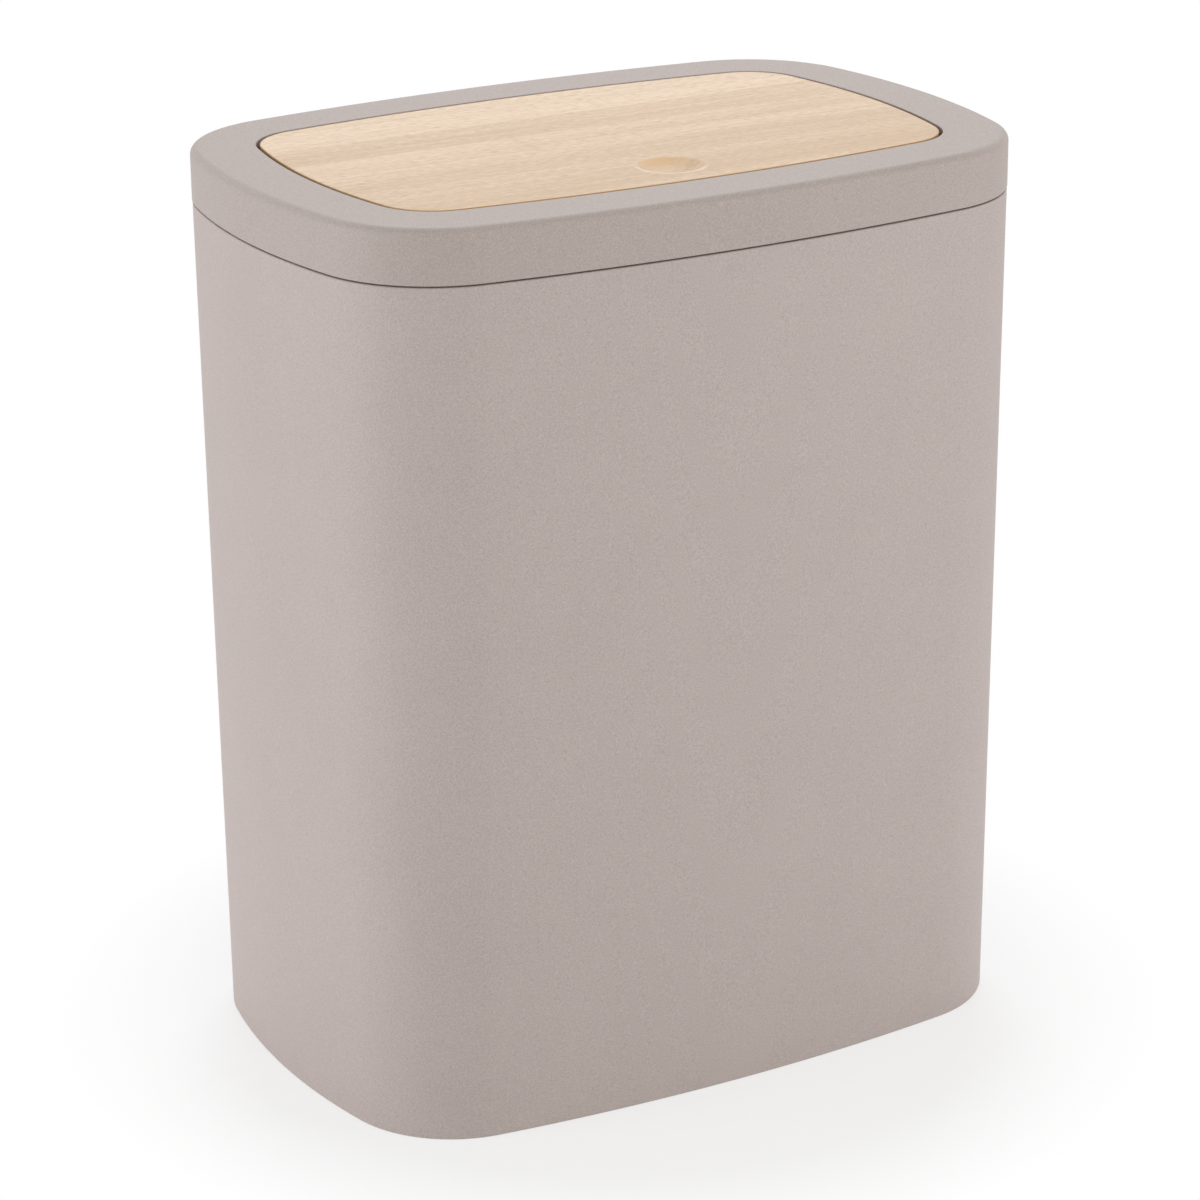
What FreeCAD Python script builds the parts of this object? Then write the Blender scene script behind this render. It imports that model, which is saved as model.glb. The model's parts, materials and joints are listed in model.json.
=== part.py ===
import FreeCAD, Part
import math
import os

# Push-to-open bathroom bin: a moulded shell, a lift-off lid ring and a bamboo flap.
# The flap turns on two pins near its back edge. A push latch under the finger dimple holds it flush.
# Frame: origin on the floor under the middle of the bin, +Z up, the front (dimple) side faces -Y.
# All sizes are millimetres. An inset is a distance inwards from the lid's outer outline.

Vec = FreeCAD.Vector
UP = Vec(0, 0, 1)
ALONG_X = Vec(1, 0, 0)

# Outline of the lid, seen from above: four bowed sides joined by round corners
lid_width = 210.0
lid_depth = 144.5
corner_radius = 35.0
front_bow_radius = 564.0
side_bow_radius = 200.0

# Heights
overall_height = 250.0
lid_height = 14.6
seam_gap = 0.4
seam_edge_radius = 0.4

# Bin shell
shell_top_inset = 0.1
shell_draft = 1.6
shell_wall = 2.2
shell_floor = 2.5
foot_height = 3.0
foot_width = 6.0
foot_edge_radius = 0.6
upstand_height = 5.0
upstand_wall = 1.7
upstand_clearance = 0.4
rim_band_height = 7.0

# Lid ring
lid_wall = 2.0
lid_top = 2.5
lid_edge_radius = 2.2
rim_width = 18.5
collar_wall = 2.0
collar_depth = 13.5
opening_edge_radius = 0.3
boss_radius = 3.2

# Lid frame: the inner moulding that closes the lid ring from below and drops into the shell
frame_plate = 2.0
frame_wall = 1.8
frame_clearance = 0.4
spigot_depth = 14.4
spigot_clearance = 0.4
shelf_half_width = 32.0
shelf_thickness = 2.5
shelf_reach = 10.0
gusset_thickness = 2.0
pin_stop_thickness = 2.0
pin_stop_gap = 0.3
pin_stop_half_width = 4.0

# Bamboo flap panel and its finger dimple
flap_gap = 0.95
panel_thickness = 4.5
panel_edge_radius = 0.5
dimple_diameter = 17.4
dimple_depth = 2.6
dimple_edge_radius = 0.8
dimple_from_front = 16.75

# Flap carrier: the moulded tray under the panel
carrier_inset = 2.0
carrier_plate = 2.5
carrier_rib_depth = 2.5
carrier_rib_width = 1.5
cross_rib_x = 40.0
landing_radius = 4.0

# Hinge
hinge_from_back = 36.0
hinge_drop = 0.0
pin_radius = 1.25
pin_grip = 9.0
pin_clearance = 0.05
ear_radius = 2.8
ear_length = 7.0
ear_pocket_clearance = 0.4
pivot_boss_radius = 3.6
pivot_notch_clearance = 0.5

# Hinge springs
hinge_wire = 0.8
hinge_coil_radius = 2.2
hinge_pitch = 1.3
hinge_turns = 4
hinge_leg = 12.0
hinge_hook_radius = 1.2
hinge_hook_length = 3.4
hinge_spring_room = 8.6
hinge_spring_gap = 0.6
hook_hole_clearance = 0.3
leg_groove_clearance = 0.75
leg_groove_side = 1.2

# Push latch under the dimple
press_angle = 2.2
strike_length = 30.0
strike_width = 12.0
strike_thickness = 1.0
strike_screw_x = 11.0
latch_gap = 0.3
magnet_radius = 3.5
magnet_height = 3.0
magnet_proud = 0.5
magnet_fit = 0.05
cup_radius = 4.6
cup_floor = 2.0
stem_radius = 3.0
stem_length = 16.0
stem_clearance = 0.08
press_room = 3.0
latch_flange = 2.0
latch_flange_length = 30.0
latch_flange_width = 13.0
latch_barrel_radius = 5.5
latch_barrel_clearance = 0.3
latch_floor = 1.5
latch_screw_x = 10.5
latch_wire = 0.6
latch_coil_radius = 2.2
latch_spring_turns = 6
latch_spring_length = 10.0
latch_spring_seat = 0.05
cam_wire = 0.8
cam_slot_width = 1.3
cam_groove_width = 3.0
cam_groove_depth = 1.4
cam_groove_length = 6.0
cam_leg_reach = 0.8
cam_pin_height = 11.5
cam_pin_seat = 0.2
clip_wall = 0.5
clip_height = 8.0
clip_clearance = 0.05
clip_mouth = 7.0
clip_below_shelf = 5.0

# Rubber bumpers on the shelf
bumper_x = 25.0
bumper_radius = 4.0
bumper_stem_radius = 1.5
bumper_bulb_radius = 2.2
bumper_bulb_height = 2.0
bumper_clearance = 0.35
bumper_stem_clearance = 0.1

# Screws
screw_clearance = 0.05
head_edge_radius = 0.5
recess_width = 0.7
recess_depth = 0.8
frame_screw_radius = 1.3
frame_screw_length = 6.0
frame_screw_head_radius = 2.6
frame_screw_head_height = 1.8
frame_screw_inset = 10.7
small_screw_radius = 1.1
small_screw_head_radius = 2.2
small_screw_head_height = 1.4
carrier_screw_x = 56.0
carrier_screw_from_rib = 5.0
carrier_screw_from_back = 16.0
carrier_screw_bite = 3.2
strike_screw_bite = 2.2
latch_screw_bite = 4.0

# Levels, from the floor up
lid_bottom = overall_height - lid_height
shoulder = lid_bottom - seam_gap
upstand_top = shoulder + upstand_height
frame_top = upstand_top + frame_plate
hollow_top = overall_height - lid_top
collar_bottom = overall_height - collar_depth
panel_bottom = overall_height - panel_thickness
carrier_bottom = panel_bottom - carrier_plate
rib_bottom = carrier_bottom - carrier_rib_depth
spigot_bottom = upstand_top - spigot_depth
cavity_floor = foot_height + shell_floor
rim_band_bottom = shoulder - rim_band_height

# Insets
shell_bottom_inset = shell_top_inset + shell_draft
upstand_outer = lid_wall + upstand_clearance
upstand_inner = upstand_outer + upstand_wall
frame_outer = lid_wall + frame_clearance
spigot_outer = upstand_inner + spigot_clearance
spigot_inner = spigot_outer + frame_wall
opening_inset = rim_width - flap_gap
collar_outer = opening_inset - collar_wall
frame_inner = collar_outer - frame_clearance
carrier_outer = rim_width + carrier_inset
carrier_rim_inner = carrier_outer + carrier_rib_width

# Hinge axis and latch axis
half_width = lid_width / 2
half_depth = lid_depth / 2
hinge_y = half_depth - rim_width - hinge_from_back
hinge_z = panel_bottom - hinge_drop
dimple_y = -(half_depth - rim_width - dimple_from_front)
latch_y = dimple_y
press_travel = (hinge_y - latch_y) * math.sin(math.radians(press_angle))

# The carrier's long rib runs midway between the strike plate and the grooves of the spring legs
strike_back = latch_y + strike_width / 2
leg_groove_front = hinge_y - hinge_leg - leg_groove_side
long_rib_y = (strike_back + leg_groove_front) / 2

# Latch levels
strike_bottom = carrier_bottom - strike_thickness
plunger_tip = strike_bottom - latch_gap
cup_top = plunger_tip - magnet_proud
magnet_bottom = plunger_tip - magnet_height
cup_bottom = magnet_bottom - cup_floor
stem_bottom = cup_bottom - stem_length
latch_top = cup_bottom - press_room
shelf_top = latch_top - latch_flange
shelf_bottom = shelf_top - shelf_thickness
latch_spring_bottom = stem_bottom - latch_spring_length
latch_bottom = latch_spring_bottom - latch_floor
bumper_top = rib_bottom - press_travel - bumper_clearance


def corner_geometry():
    """Centre of the first-quadrant corner arc and the angles where it meets the side and the front arcs."""
    front_centre = Vec(0, half_depth - front_bow_radius, 0)
    side_centre = Vec(half_width - side_bow_radius, 0, 0)
    front_reach = front_bow_radius - corner_radius
    side_reach = side_bow_radius - corner_radius
    between = side_centre - front_centre
    along = (front_reach**2 - side_reach**2 + between.Length**2) / (2 * between.Length)
    across = math.sqrt(front_reach**2 - along**2)
    unit = between / between.Length
    normal = Vec(-unit.y, unit.x, 0)
    options = [front_centre + unit * along + normal * s * across for s in (1, -1)]
    centre = max(options, key=lambda p: p.x + p.y)
    to_side = centre - side_centre
    to_front = centre - front_centre
    return centre, math.atan2(to_side.y, to_side.x), math.atan2(to_front.y, to_front.x)


corner_centre, side_angle, front_angle = corner_geometry()


def on_corner(inset, angle):
    """Point of the corner arc at an inset."""
    reach = corner_radius - inset
    return corner_centre + Vec(math.cos(angle), math.sin(angle), 0) * reach


def outline(inset, z):
    """Closed wire of the lid's outline, moved inwards by inset, at height z."""
    side_end = on_corner(inset, side_angle)
    corner_mid = on_corner(inset, (side_angle + front_angle) / 2)
    front_end = on_corner(inset, front_angle)
    quarter = [side_end, corner_mid, front_end]
    stops = [
        Vec(half_width - inset, 0, 0),
        *quarter,
        Vec(0, half_depth - inset, 0),
        *[Vec(-p.x, p.y, 0) for p in reversed(quarter)],
        Vec(-(half_width - inset), 0, 0),
        *[Vec(-p.x, -p.y, 0) for p in quarter],
        Vec(0, -(half_depth - inset), 0),
        *[Vec(p.x, -p.y, 0) for p in reversed(quarter)],
    ]
    stops = [p + UP * z for p in stops]
    first = len(stops) - 1
    arcs = []
    for k in range(first, first + len(stops), 2):
        ends = [stops[(k + step) % len(stops)] for step in (0, 1, 2)]
        arcs.append(Part.Arc(*ends).toShape())
    return Part.Wire(arcs)


def slab(inset, low, high):
    """Solid of the outline at an inset, between two heights."""
    return Part.Face(outline(inset, low)).extrude(UP * (high - low))


def tapered(low_inset, low, high_inset, high):
    """Solid between the outline at two insets and heights."""
    return Part.makeLoft([outline(low_inset, low), outline(high_inset, high)], True, True)


def band(outer_inset, inner_inset, low, high):
    """Upright wall that follows the outline."""
    return slab(outer_inset, low, high).cut(slab(inner_inset, low, high))


def half_width_at(inset, y):
    """Half the outline's width at an inset, at depth y on the side arc."""
    return half_width - side_bow_radius + math.sqrt((side_bow_radius - inset) ** 2 - y**2)


def post(radius, x, y, low, high):
    """Upright cylinder."""
    return Part.makeCylinder(radius, high - low, Vec(x, y, low), UP)


def rod(radius, x_from, x_to, y, z):
    """Cylinder along X."""
    return Part.makeCylinder(radius, x_to - x_from, Vec(x_from, y, z), ALONG_X)


def block(x_from, x_to, y_from, y_to, z_from, z_to):
    """Box between two corners."""
    corner = Vec(x_from, y_from, z_from)
    return Part.makeBox(x_to - x_from, y_to - y_from, z_to - z_from, corner)


def mirrored(shape):
    """The same shape on the left side."""
    return shape.mirror(Vec(0, 0, 0), ALONG_X)


def both_sides(shape):
    """A right-hand shape and its mirror image."""
    return [shape, mirrored(shape)]


def edges_at(shape, z, inside=None):
    """Edges that lie at height z and, where inside is given, within that inset of the outline."""
    tolerance = 1e-4
    found = [e for e in shape.Edges if abs(e.BoundBox.ZMin - z) + abs(e.BoundBox.ZMax - z) < tolerance]
    if inside is None:
        return found
    reach = half_width - inside
    return [e for e in found if max(abs(e.BoundBox.XMin), abs(e.BoundBox.XMax)) < reach]


def screw(head_radius, head_height, shank_radius, length):
    """Pan-head screw with a cross recess, head below z = 0 and shank up along +Z."""
    head = Part.makeCylinder(head_radius, head_height, Vec(0, 0, -head_height), UP)
    head = head.makeFillet(head_edge_radius, edges_at(head, -head_height))
    recess_reach = head_radius - head_edge_radius
    for turn in (0, 90):
        bar = block(-recess_reach, recess_reach, -recess_width / 2, recess_width / 2, 0, recess_depth)
        bar.translate(UP * -head_height)
        head = head.cut(bar.rotate(Vec(0, 0, 0), UP, turn))
    tip_chamfer = shank_radius / 2
    shank = Part.makeCylinder(shank_radius, length, Vec(0, 0, 0), UP)
    shank = shank.makeChamfer(tip_chamfer, edges_at(shank, length))
    return head.fuse(shank).removeSplitter()


def placed(shape, x, y, z, upside_down=False):
    """A copy of a screw at a point, turned head-up where asked."""
    copy = shape.copy()
    if upside_down:
        copy.rotate(Vec(0, 0, 0), ALONG_X, 180)
    copy.translate(Vec(x, y, z))
    return copy


def arc_leaving(start, direction, end):
    """Arc from start along direction to end."""
    chord = end - start
    unit = chord / chord.Length
    aside = direction - unit * direction.dot(unit)
    lean = math.atan2(aside.Length, direction.dot(unit))
    rise = chord.Length / 2 * math.tan(lean / 2)
    return Part.Arc(start, start + chord / 2 + aside / aside.Length * rise, end).toShape()


def biarc(start, start_direction, end, end_direction):
    """Two tangent arcs from one directed point to another."""
    gap = end - start
    total = start_direction + end_direction
    turn = 2 * (1 - start_direction.dot(end_direction))
    reach = (-gap.dot(total) + math.sqrt(gap.dot(total) ** 2 + turn * gap.dot(gap))) / turn
    middle = (start + end + (start_direction - end_direction) * reach) / 2
    arrive = start + start_direction * reach
    through = (middle - arrive) / (middle - arrive).Length
    return [arc_leaving(start, start_direction, middle), arc_leaving(middle, through, end)]


def coil_point(origin, axis, first, second, radius, pitch, turns):
    """Point and unit direction of a helix after so many turns."""
    angle = 2 * math.pi * turns
    spoke = first * math.cos(angle) + second * math.sin(angle)
    ahead = second * math.cos(angle) - first * math.sin(angle)
    direction = ahead * (2 * math.pi * radius) + axis * pitch
    return origin + spoke * radius + axis * (pitch * turns), direction / direction.Length


def coil_edges(origin, axis, first, second, radius, pitch, turns):
    """A helix as tangent arcs, half a turn at a time."""
    edges = []
    for k in range(int(round(2 * turns))):
        start = coil_point(origin, axis, first, second, radius, pitch, k / 2)
        end = coil_point(origin, axis, first, second, radius, pitch, (k + 1) / 2)
        edges += biarc(*start, *end)
    return edges


def wire_tube(edges, start, direction, radius):
    """Round wire swept along tangent edges."""
    ring = Part.Wire(Part.Circle(start, direction, radius).toShape())
    return Part.Wire(edges).makePipeShell([ring], True, False)


def print_least_gap(name, edges, wire):
    """Prints the least clear distance between neighbouring turns, measured on points of the path."""
    step = 0.1
    points = [p for e in edges for p in e.discretize(Distance=step)]
    skip = int(round(4 * wire / step))
    pairs = [(p, q) for i, p in enumerate(points) for q in points[i + skip:]]
    near = min((p - q).Length for p, q in pairs)
    print(name, "least gap to itself", round(near - wire, 2))


frame_screw = screw(frame_screw_head_radius, frame_screw_head_height, frame_screw_radius, frame_screw_length)


def frame_screw_places():
    """Eight points round the lid ring: four on long sides, two on short sides, two at front corners."""
    inset = frame_screw_inset
    corner = on_corner(inset, (side_angle + front_angle) / 2)
    side_x = half_width - inset
    long_x = corner_centre.x / 2
    front_centre_y = half_depth - front_bow_radius
    long_y = front_centre_y + math.sqrt((front_bow_radius - inset) ** 2 - long_x**2)
    right = [(corner.x, -corner.y), (side_x, 0), (long_x, long_y), (long_x, -long_y)]
    return [(sign * x, y) for x, y in right for sign in (1, -1)]


# Hinge places along X, from the collar inwards
collar_x = half_width_at(opening_inset, hinge_y)
ear_outer = collar_x - hinge_spring_room
ear_inner = ear_outer - ear_length
pin_outer = collar_x + pin_grip
spring_start_x = ear_outer + hinge_spring_gap + hinge_wire / 2


def hinge_spring():
    """Right-hand torsion spring: a leg in the carrier's groove, the coil, a hook in the collar."""
    down = Vec(0, 0, -1)
    back = Vec(0, 1, 0)
    origin = Vec(spring_start_x, hinge_y, hinge_z)
    coil = (origin, ALONG_X, down, back, hinge_coil_radius, hinge_pitch)
    start, start_direction = coil_point(*coil, 0)
    end, end_direction = coil_point(*coil, hinge_turns)
    leg_tip = start - start_direction * hinge_leg
    swing = math.acos(end_direction.dot(ALONG_X))
    reach = hinge_hook_radius * math.tan(swing / 2)
    hook_start = end + (end_direction + ALONG_X) * reach
    edges = [Part.LineSegment(leg_tip, start).toShape()]
    edges += coil_edges(*coil, hinge_turns)
    edges.append(arc_leaving(end, end_direction, hook_start))
    edges.append(Part.LineSegment(hook_start, hook_start + ALONG_X * hinge_hook_length).toShape())
    print_least_gap("hinge spring", edges, hinge_wire)
    return wire_tube(edges, leg_tip, start_direction, hinge_wire / 2), hook_start


def bin_shell():
    """Tapered outer bin with a foot ring, a thick rim band and the upstand that carries the lid."""
    shell = tapered(shell_bottom_inset, 0, shell_top_inset, shoulder)
    shell = shell.makeFillet(foot_edge_radius, edges_at(shell, 0))
    shell = shell.makeFillet(seam_edge_radius, edges_at(shell, shoulder))
    upstand = slab(upstand_outer, rim_band_bottom, upstand_top)
    shell = shell.fuse(upstand.makeFillet(seam_edge_radius, edges_at(upstand, upstand_top)))
    cavity_low = shell_bottom_inset + shell_wall
    cavity_high = shell_top_inset + shell_wall
    cavity = tapered(cavity_low, cavity_floor, cavity_high, shoulder)
    step = upstand_inner - cavity_high
    mouth = slab(upstand_inner, cavity_floor, upstand_top)
    lead_in = tapered(cavity_high, rim_band_bottom, upstand_inner, rim_band_bottom + step)
    below = cavity.common(slab(0, cavity_floor, rim_band_bottom))
    hollow = below.fuse(lead_in.common(cavity)).fuse(mouth)
    foot = slab(shell_bottom_inset + foot_width, 0, foot_height)
    return shell.cut(hollow).cut(foot)


def lid_ring(hook):
    """Visible lid: rounded top, outer skirt, collar round the flap, screw bosses and pivot bosses."""
    ring = slab(0, lid_bottom, overall_height)
    ring = ring.makeFillet(lid_edge_radius, edges_at(ring, overall_height))
    ring = ring.makeFillet(seam_edge_radius, edges_at(ring, lid_bottom))
    ring = ring.cut(slab(lid_wall, lid_bottom, hollow_top))
    ring = ring.fuse(slab(collar_outer, collar_bottom, hollow_top))
    for x, y in frame_screw_places():
        ring = ring.fuse(post(boss_radius, x, y, frame_top, hollow_top))
    for boss in both_sides(rod(pivot_boss_radius, collar_x, pin_outer, hinge_y, hinge_z)):
        ring = ring.fuse(boss)
    ring = ring.cut(slab(opening_inset, collar_bottom, overall_height))
    ring = ring.makeFillet(opening_edge_radius, edges_at(ring, overall_height, rim_width / 2))
    bore = rod(pin_radius + pin_clearance, ear_inner, pin_outer, hinge_y, hinge_z)
    hook_hole = rod(hinge_wire / 2 + hook_hole_clearance, ear_outer, pin_outer, hook.y, hook.z)
    for hole in both_sides(bore) + both_sides(hook_hole):
        ring = ring.cut(hole)
    pilot = frame_screw_radius + screw_clearance
    bite = upstand_top + frame_screw_length + screw_clearance
    for x, y in frame_screw_places():
        ring = ring.cut(post(pilot, x, y, frame_top, bite))
    return ring


def lid_frame():
    """Inner moulding: closing plate, spigot into the shell, latch shelf, stops behind the hinge pins."""
    frame = band(frame_outer, frame_inner, upstand_top, frame_top)
    frame = frame.fuse(band(spigot_outer, spigot_inner, spigot_bottom, upstand_top))
    shelf_back = latch_y + shelf_reach
    shelf = block(-shelf_half_width, shelf_half_width, -half_depth, shelf_back, shelf_bottom, shelf_top)
    shelf = shelf.common(slab(spigot_outer, shelf_bottom, shelf_top))
    frame = frame.fuse(shelf)
    gusset_x = shelf_half_width - gusset_thickness
    gusset_back = latch_y - bumper_radius
    gusset_top = collar_bottom - frame_clearance
    gusset = block(gusset_x, shelf_half_width, -half_depth, gusset_back, shelf_bottom, gusset_top)
    gusset = gusset.common(slab(spigot_outer, shelf_bottom, gusset_top))
    for side in both_sides(gusset):
        frame = frame.fuse(side)
    reach = pivot_boss_radius + pivot_notch_clearance
    notch_outer = pin_outer + pin_stop_gap
    notch = block(collar_x - reach, notch_outer, hinge_y - reach, hinge_y + reach, upstand_top, frame_top)
    stop = block(notch_outer, notch_outer + pin_stop_thickness, hinge_y - pin_stop_half_width,
                 hinge_y + pin_stop_half_width, upstand_top, hinge_z + pin_radius)
    for side in both_sides(notch):
        frame = frame.cut(side)
    for side in both_sides(stop):
        frame = frame.fuse(side)
    for x, y in frame_screw_places():
        frame = frame.cut(post(frame_screw_radius + screw_clearance, x, y, upstand_top, frame_top))
    barrel_hole = latch_barrel_radius + latch_barrel_clearance
    frame = frame.cut(post(barrel_hole, 0, latch_y, shelf_bottom, shelf_top))
    for sign in (1, -1):
        latch_hole = small_screw_radius + screw_clearance
        bumper_hole = bumper_stem_radius + bumper_stem_clearance
        frame = frame.cut(post(latch_hole, sign * latch_screw_x, latch_y, shelf_bottom, shelf_top))
        frame = frame.cut(post(bumper_hole, sign * bumper_x, latch_y, shelf_bottom, shelf_top))
    return frame.removeSplitter()


def carrier_screw_places():
    """Six points in two rows under the panel."""
    rows = (long_rib_y + carrier_screw_from_rib, half_depth - rim_width - carrier_screw_from_back)
    return [(x, y) for y in rows for x in (-carrier_screw_x, 0, carrier_screw_x)]


def flap_panel():
    """Bamboo board with a round finger dimple, and pockets underneath for the hinge ears."""
    panel = slab(rim_width, panel_bottom, overall_height)
    panel = panel.makeFillet(panel_edge_radius, edges_at(panel, overall_height))
    ball = ((dimple_diameter / 2) ** 2 + dimple_depth**2) / (2 * dimple_depth)
    panel = panel.cut(Part.makeSphere(ball, Vec(0, dimple_y, overall_height - dimple_depth + ball)))
    dimple_edge = edges_at(panel, overall_height, half_width - dimple_diameter)
    panel = panel.makeFillet(dimple_edge_radius, dimple_edge)
    pocket_radius = ear_radius + ear_pocket_clearance
    pocket = rod(pocket_radius, ear_inner - ear_pocket_clearance, half_width, hinge_y, hinge_z)
    for side in both_sides(pocket):
        panel = panel.cut(side)
    hole = small_screw_radius + screw_clearance
    for x, y in carrier_screw_places():
        panel = panel.cut(post(hole, x, y, panel_bottom, panel_bottom + carrier_screw_bite + screw_clearance))
    return panel


def flap_carrier():
    """Ribbed tray under the panel, with hinge ears, grooves for the spring legs and pads for the bumpers."""
    carrier = slab(carrier_outer, carrier_bottom, panel_bottom)
    carrier = carrier.fuse(band(carrier_outer, carrier_rim_inner, rib_bottom, carrier_bottom))
    within = slab(carrier_outer, rib_bottom, carrier_bottom)
    half_rib = carrier_rib_width / 2
    rib_levels = (rib_bottom, carrier_bottom)
    ribs = [block(-half_width, half_width, long_rib_y - half_rib, long_rib_y + half_rib, *rib_levels)]
    for sign in (1, -1):
        middle = sign * cross_rib_x
        ribs.append(block(middle - half_rib, middle + half_rib, -half_depth, half_depth, *rib_levels))
        ribs.append(post(landing_radius, sign * bumper_x, latch_y, *rib_levels))
    for rib in ribs:
        carrier = carrier.fuse(rib.common(within))
    reach = ear_radius + ear_pocket_clearance
    notch = block(ear_outer, half_width, hinge_y - reach, hinge_y + reach, rib_bottom, panel_bottom)
    ear = rod(ear_radius, ear_inner, ear_outer, hinge_y, hinge_z)
    leg_groove = block(spring_start_x - hinge_pitch - leg_groove_side, spring_start_x + leg_groove_side,
                       leg_groove_front, hinge_y - reach, carrier_bottom,
                       hinge_z - hinge_coil_radius + hinge_wire / 2 + leg_groove_clearance)
    bore = rod(pin_radius + pin_clearance, ear_inner, ear_outer, hinge_y, hinge_z)
    for side in both_sides(notch) + both_sides(leg_groove):
        carrier = carrier.cut(side)
    for side in both_sides(ear):
        carrier = carrier.fuse(side)
    for side in both_sides(bore):
        carrier = carrier.cut(side)
    hole = small_screw_radius + screw_clearance
    for x, y in carrier_screw_places():
        carrier = carrier.cut(post(hole, x, y, carrier_bottom, panel_bottom))
    for sign in (1, -1):
        pilot_top = carrier_bottom + strike_screw_bite + screw_clearance
        carrier = carrier.cut(post(hole, sign * strike_screw_x, latch_y, carrier_bottom, pilot_top))
    return carrier.removeSplitter()


def strike_plate():
    """Steel plate under the carrier that the latch magnet holds."""
    half_length = strike_length / 2
    half_wide = strike_width / 2
    plate = block(-half_length, half_length, latch_y - half_wide, strike_back, strike_bottom, carrier_bottom)
    upright = [e for e in plate.Edges if e.BoundBox.ZLength > strike_thickness / 2]
    plate = plate.makeFillet(half_wide / 3, upright)
    for sign in (1, -1):
        hole = small_screw_radius + screw_clearance
        plate = plate.cut(post(hole, sign * strike_screw_x, latch_y, strike_bottom, carrier_bottom))
    return plate


def latch_plunger():
    """Sliding stem with a cup for the magnet and a groove for the cam pin."""
    plunger = post(cup_radius, 0, latch_y, cup_bottom, cup_top)
    plunger = plunger.fuse(post(stem_radius, 0, latch_y, stem_bottom, cup_bottom))
    plunger = plunger.cut(post(magnet_radius + magnet_fit, 0, latch_y, magnet_bottom, cup_top))
    half_groove = cam_groove_width / 2
    groove_bottom = cam_pin_top - cam_groove_length / 2
    groove = block(-half_groove, half_groove, latch_y + stem_radius - cam_groove_depth, latch_y + stem_radius,
                   groove_bottom, groove_bottom + cam_groove_length)
    return plunger.cut(groove).removeSplitter()


cam_slot_bottom = latch_spring_bottom + latch_floor
cam_pin_bottom = cam_slot_bottom + cam_pin_seat
cam_pin_top = cam_pin_bottom + cam_pin_height
cam_pin_y = latch_y + (stem_radius + latch_barrel_radius) / 2


def latch_housing():
    """Barrel with a screw flange, the plunger's bore and a side slot for the cam pin."""
    half_length = latch_flange_length / 2
    half_wide = latch_flange_width / 2
    flange = block(-half_length, half_length, latch_y - half_wide, latch_y + half_wide, shelf_top, latch_top)
    upright = [e for e in flange.Edges if e.BoundBox.ZLength > latch_flange / 2]
    flange = flange.makeFillet(half_wide / 2, upright)
    housing = flange.fuse(post(latch_barrel_radius, 0, latch_y, latch_bottom, shelf_top))
    housing = housing.cut(post(stem_radius + stem_clearance, 0, latch_y, latch_spring_bottom, latch_top))
    slot = block(-cam_slot_width / 2, cam_slot_width / 2, latch_y, latch_y + latch_barrel_radius,
                 cam_slot_bottom, cam_pin_top + cam_wire)
    housing = housing.cut(slot)
    for sign in (1, -1):
        hole = small_screw_radius + screw_clearance
        housing = housing.cut(post(hole, sign * latch_screw_x, latch_y, shelf_top, latch_top))
    return housing.removeSplitter()


def cam_pin():
    """Bent wire in the housing's slot, with its upper end in the plunger's groove."""
    bend = cam_wire
    tip = Vec(0, latch_y + stem_radius - cam_leg_reach, cam_pin_top)
    bend_start = Vec(0, cam_pin_y - bend, cam_pin_top)
    bend_end = Vec(0, cam_pin_y, cam_pin_top - bend)
    foot = Vec(0, cam_pin_y, cam_pin_bottom)
    inward = Vec(0, 1, 0)
    edges = [
        Part.LineSegment(tip, bend_start).toShape(),
        arc_leaving(bend_start, inward, bend_end),
        Part.LineSegment(bend_end, foot).toShape(),
    ]
    return wire_tube(edges, tip, inward, cam_wire / 2)


def latch_clip():
    """Spring-steel clip round the barrel that keeps the cam pin in its slot."""
    inner = latch_barrel_radius + clip_clearance
    top = shelf_bottom - clip_below_shelf
    low = top - clip_height
    clip = post(inner + clip_wall, 0, latch_y, low, top).cut(post(inner, 0, latch_y, low, top))
    return clip.cut(block(-clip_mouth / 2, clip_mouth / 2, latch_y - 2 * inner, latch_y, low, top))


def latch_spring():
    """Compression spring under the plunger."""
    seat = latch_wire / 2 + latch_spring_seat
    pitch = (latch_spring_length - 2 * seat) / latch_spring_turns
    origin = Vec(0, latch_y, latch_spring_bottom + seat)
    coil = (origin, UP, ALONG_X, Vec(0, 1, 0), latch_coil_radius, pitch)
    edges = coil_edges(*coil, latch_spring_turns)
    print_least_gap("latch spring", edges, latch_wire)
    start, direction = coil_point(*coil, 0)
    return wire_tube(edges, start, direction, latch_wire / 2)


def bumper_stud(x):
    """Rubber stud whose stem snaps through the shelf."""
    stud = post(bumper_radius, x, latch_y, shelf_top, bumper_top)
    stud = stud.makeFillet(bumper_radius / 4, edges_at(stud, bumper_top))
    stud = stud.fuse(post(bumper_stem_radius, x, latch_y, shelf_bottom, shelf_top))
    return stud.fuse(post(bumper_bulb_radius, x, latch_y, shelf_bottom - bumper_bulb_height, shelf_bottom))


def small_screw(bite):
    """Small pan-head screw of a given shank length."""
    return screw(small_screw_head_radius, small_screw_head_height, small_screw_radius, bite)


spring_right, hook_centre = hinge_spring()
hinge_pin = rod(pin_radius, ear_inner, pin_outer, hinge_y, hinge_z)
carrier_screw = small_screw(carrier_plate + carrier_screw_bite)
strike_screw = small_screw(strike_thickness + strike_screw_bite)
latch_screw = small_screw(latch_flange + latch_screw_bite)

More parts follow.
